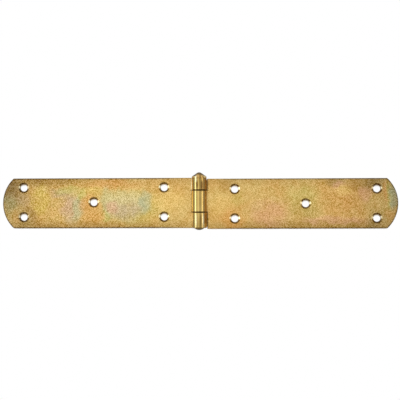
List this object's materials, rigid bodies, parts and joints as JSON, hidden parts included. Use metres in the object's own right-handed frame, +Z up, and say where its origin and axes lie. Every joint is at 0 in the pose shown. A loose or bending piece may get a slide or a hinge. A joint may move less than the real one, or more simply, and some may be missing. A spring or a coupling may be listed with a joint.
{
  "type": "strap hinge",
  "caption": "Long yellow-plated steel strap hinge with rolled knuckles on a riveted pin, plain screw holes and rounded strap ends; swings freely and can't be taken apart.",
  "frame": {"origin": "on the back plane of the straps, under the pin axis, at the middle of the double-knuckle strap's width", "axes": "+X along the single-knuckle strap, +Y along the pin towards its head, +Z up from the back plane towards the barrel"},
  "size_m": [0.28, 0.0407, 0.0106],
  "materials": {
    "strap_plating": "yellow-passivated zinc plate, satin, with faint rainbow stains",
    "pin_plating": "yellow-passivated zinc plate, burnished"
  },
  "bodies": {
    "fixed_strap": {"double_knuckle_strap": "strap_plating", "rivet_pin": "pin_plating"},
    "swinging_strap": {"single_knuckle_strap": "strap_plating"}
  },
  "joints": [
    {"name": "pin_hinge", "type": "hinge", "parent": "fixed_strap", "child": "swinging_strap", "pos_m": [0, 0, 0.0053], "axis": [0, -1, 0], "range_deg": [-92, 180]}
  ]
}
